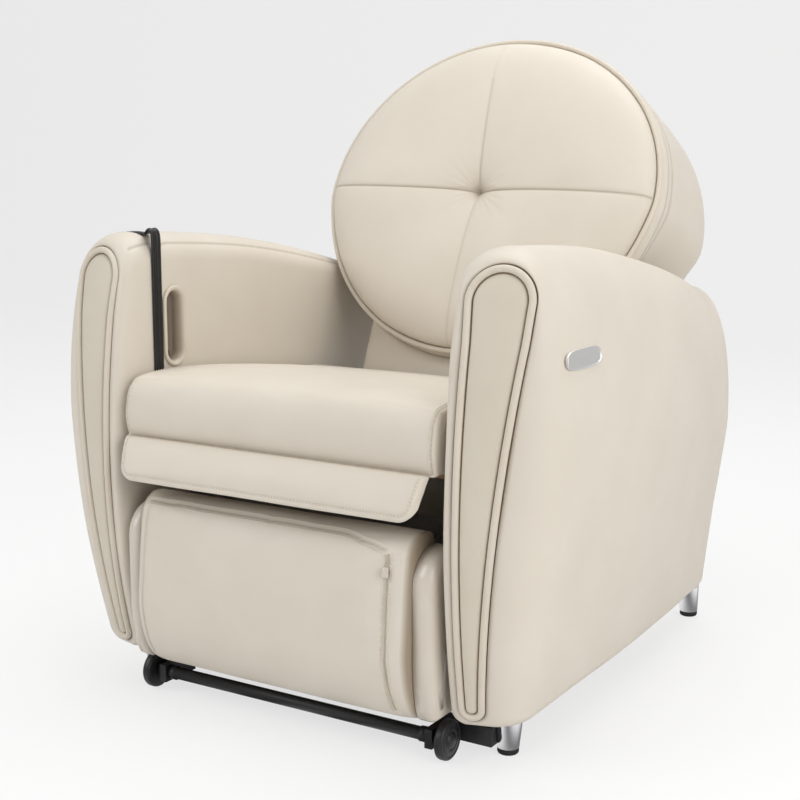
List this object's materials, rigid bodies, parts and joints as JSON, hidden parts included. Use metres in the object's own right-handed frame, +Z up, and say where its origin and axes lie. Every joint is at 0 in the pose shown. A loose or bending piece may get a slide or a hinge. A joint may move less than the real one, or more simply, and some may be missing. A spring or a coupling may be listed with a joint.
{
  "type": "massage chair",
  "caption": "Padded massage armchair with a round tufted reclining back, lifting leg rest, seat flap, chrome feet and transport wheels, with a roller mechanism in the back.",
  "frame": {"origin": "on the floor, under the middle of the chair's bounding box", "axes": "+Z up, -Y the way the sitter faces, +X to the sitter's left; left and right in names are as seen by someone facing the chair"},
  "size_m": [0.8731, 1.0268, 1.0336],
  "materials": {
    "cream_leather": "soft semi-matt cream leather with fine grain",
    "gloss_white": "glossy off-white moulded plastic",
    "black_plastic": "satin black",
    "black_rubber": "matt black",
    "chrome": "polished",
    "silver": "satin silver",
    "painted_steel": "dark powder coat",
    "bright_steel": "bright",
    "plywood": "raw plywood",
    "pocket_plastic": "satin beige",
    "grey_plastic": "satin grey"
  },
  "bodies": {
    "chair": {"base_frame": "painted_steel", "seat_pan": "plywood", "seat_cushion": "cream_leather", "left_arm_core": "plywood", "right_arm_core": "plywood", "left_arm_cover": "cream_leather", "right_arm_cover": "cream_leather", "left_arm_front_panel": "cream_leather", "right_arm_front_panel": "cream_leather", "left_arm_welt": "cream_leather", "right_arm_welt": "cream_leather", "badge_plate": "silver", "pocket_cup": "pocket_plastic", "arm_strap": "black_plastic", "front_left_foot": "chrome", "front_right_foot": "chrome", "rear_left_foot": "chrome", "rear_right_foot": "chrome", "front_left_glide": "black_rubber", "front_right_glide": "black_rubber", "rear_left_glide": "black_rubber", "rear_right_glide": "black_rubber", "axle_bar": "black_plastic", "left_wheel_bracket": "black_plastic", "right_wheel_bracket": "black_plastic", "control_box": "grey_plastic", "power_inlet": "black_plastic", "rear_cover": "cream_leather", "leg_rest_gear_motor": "grey_plastic", "recline_pivot_rod": "bright_steel", "gas_spring_body": "black_plastic"},
    "left_wheel": {"left_wheel": "black_plastic"},
    "right_wheel": {"right_wheel": "black_plastic"},
    "release_paddle": {"release_paddle": "pocket_plastic"},
    "seat_flap": {"seat_flap": "cream_leather"},
    "gas_rod": {"gas_spring_rod": "bright_steel"},
    "backrest": {"backrest_frame": "painted_steel", "back_shell": "cream_leather", "back_cushion": "cream_leather", "back_welt": "cream_leather", "lumbar_pad": "cream_leather", "left_guide_rail": "bright_steel", "right_guide_rail": "bright_steel", "screw_motor": "grey_plastic"},
    "lead_screw": {"lead_screw": "bright_steel"},
    "carriage": {"massage_carriage": "grey_plastic", "rocker_shaft": "bright_steel", "rocking_motor": "grey_plastic"},
    "left_rocker": {"left_rocker_arm": "painted_steel"},
    "right_rocker": {"right_rocker_arm": "painted_steel"},
    "left_upper_roller": {"left_upper_roller": "black_rubber"},
    "left_lower_roller": {"left_lower_roller": "black_rubber"},
    "right_upper_roller": {"right_upper_roller": "black_rubber"},
    "right_lower_roller": {"right_lower_roller": "black_rubber"},
    "leg_rest": {"leg_rest_frame": "painted_steel", "leg_rest_pad": "cream_leather", "left_leg_rest_panel": "gloss_white", "right_leg_rest_panel": "gloss_white", "leg_rest_pivot_rod": "bright_steel"},
    "zip_pull": {"zip_pull": "gloss_white"}
  },
  "joints": [
    {"name": "recline", "type": "hinge", "parent": "chair", "child": "backrest", "pos_m": [0, 0.07399, 0.4], "axis": [-1, 0, 0], "range_deg": [0, 15]},
    {"name": "gas_rod_slide", "type": "slide", "parent": "chair", "child": "gas_rod", "axis": [0, -1, 0], "range_m": [0, 0.0265]},
    {"name": "leg_rest_lift", "type": "hinge", "parent": "chair", "child": "leg_rest", "pos_m": [0, -0.38101, 0.275], "axis": [-1, 0, 0], "range_deg": [0, 80]},
    {"name": "flap_lift", "type": "hinge", "parent": "chair", "child": "seat_flap", "pos_m": [0, -0.47431, 0.4131], "axis": [-1, 0, 0], "range_deg": [0, 57]},
    {"name": "release_pull", "type": "hinge", "parent": "chair", "child": "release_paddle", "pos_m": [-0.2967, -0.34051, 0.5675], "axis": [0, 0, 1], "range_deg": [0, 18], "stiffness_Nm_per_rad": 0.4},
    {"name": "left_wheel_spin", "type": "hinge", "parent": "chair", "child": "left_wheel", "pos_m": [-0.265, -0.42601, 0.03], "axis": [1, 0, 0], "continuous": true},
    {"name": "right_wheel_spin", "type": "hinge", "parent": "chair", "child": "right_wheel", "pos_m": [0.265, -0.42601, 0.03], "axis": [1, 0, 0], "continuous": true},
    {"name": "carriage_travel", "type": "slide", "parent": "backrest", "child": "carriage", "axis": [0, 0.3955, 0.9184], "range_m": [-0.09, 0.1]},
    {"name": "lead_screw_turn", "type": "hinge", "parent": "backrest", "child": "lead_screw", "pos_m": [0, 0.2735, 0.71655], "axis": [0, 0.3955, 0.9184], "range_deg": [-1630, 1810]},
    {"name": "right_rock", "type": "hinge", "parent": "carriage", "child": "right_rocker", "pos_m": [0.055, 0.22472, 0.71578], "axis": [1, 0, 0], "range_deg": [-8, 8]},
    {"name": "left_rock", "type": "hinge", "parent": "carriage", "child": "left_rocker", "pos_m": [-0.055, 0.22472, 0.71578], "axis": [1, 0, 0], "range_deg": [-8, 8]},
    {"name": "left_upper_roll", "type": "hinge", "parent": "left_rocker", "child": "left_upper_roller", "pos_m": [-0.0725, 0.24138, 0.78482], "axis": [1, 0, 0], "continuous": true},
    {"name": "left_lower_roll", "type": "hinge", "parent": "left_rocker", "child": "left_lower_roller", "pos_m": [-0.0725, 0.18601, 0.65623], "axis": [1, 0, 0], "continuous": true},
    {"name": "right_upper_roll", "type": "hinge", "parent": "right_rocker", "child": "right_upper_roller", "pos_m": [0.0725, 0.24138, 0.78482], "axis": [1, 0, 0], "continuous": true},
    {"name": "right_lower_roll", "type": "hinge", "parent": "right_rocker", "child": "right_lower_roller", "pos_m": [0.0725, 0.18601, 0.65623], "axis": [1, 0, 0], "continuous": true},
    {"name": "zip_slide", "type": "slide", "parent": "leg_rest", "child": "zip_pull", "axis": [0, -0.1077, -0.9942], "range_m": [0, 0.1]}
  ],
  "couplings": [
    {"joint": "gas_rod_slide", "follows": "recline", "m_per_rad": 0.099715},
    {"joint": "flap_lift", "follows": "leg_rest_lift", "ratio": 0.7},
    {"joint": "lead_screw_turn", "follows": "carriage_travel", "rad_per_m": 314.16},
    {"joint": "left_rock", "follows": "right_rock", "ratio": -1}
  ]
}
